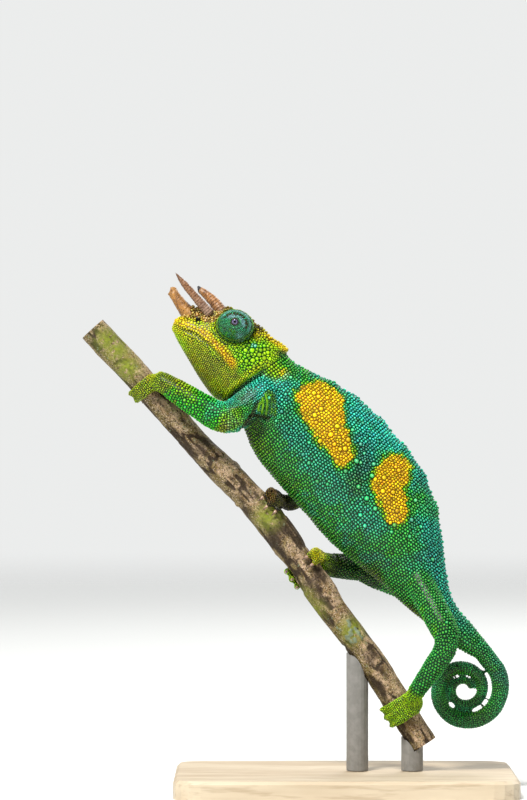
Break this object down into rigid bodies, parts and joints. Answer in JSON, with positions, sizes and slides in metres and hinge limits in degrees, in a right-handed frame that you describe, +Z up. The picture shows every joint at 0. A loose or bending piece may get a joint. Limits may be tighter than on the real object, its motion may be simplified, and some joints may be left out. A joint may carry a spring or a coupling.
{
  "type": "jacksons chameleon",
  "caption": "Three-horned chameleon with teal and green scales and yellow flank patches, gripping a cut branch on a plain display stand.",
  "frame": {"origin": "centre of the underside of the stand's flat base", "axes": "+Z up from the base, the longest extent; the animal climbs toward -X with its left side toward -Y; Y is across the animal, the shortest extent"},
  "size_m": [0.1579, 0.092, 0.1889],
  "materials": {
    "scaled_skin": "matt, pebbled scales in teal, green and yellow",
    "eyes": "wet gloss",
    "horn": "ringed, satin",
    "bark": "rough bark with moss and lichen",
    "stand": "plain, satin",
    "stand_rods": "plain, satin"
  },
  "bodies": {
    "root": {"eye_turret_left": "scaled_skin", "eye_turret_right": "scaled_skin", "eyeball_left": "eyes", "eyeball_right": "eyes", "foot_left": "scaled_skin", "foot_right": "scaled_skin", "forearm_left": "scaled_skin", "forearm_right": "scaled_skin", "hand_left": "scaled_skin", "hand_right": "scaled_skin", "head": "scaled_skin", "horn_left": "horn", "horn_right": "horn", "horn_rostral": "horn", "neck": "scaled_skin", "pelvis": "scaled_skin", "perch": "bark", "shin_left": "scaled_skin", "shin_right": "scaled_skin", "stand_base": "stand", "stand_rod_1": "stand_rods", "stand_rod_2": "stand_rods", "tail_base": "scaled_skin", "tail_coil_1": "scaled_skin", "tail_coil_2": "scaled_skin", "tail_coil_3": "scaled_skin", "tail_coil_4": "scaled_skin", "tail_tip": "scaled_skin", "thigh_left": "scaled_skin", "thigh_right": "scaled_skin", "torso_front": "scaled_skin", "torso_rear": "scaled_skin", "upper_arm_left": "scaled_skin", "upper_arm_right": "scaled_skin"}
  },
  "joints": []
}
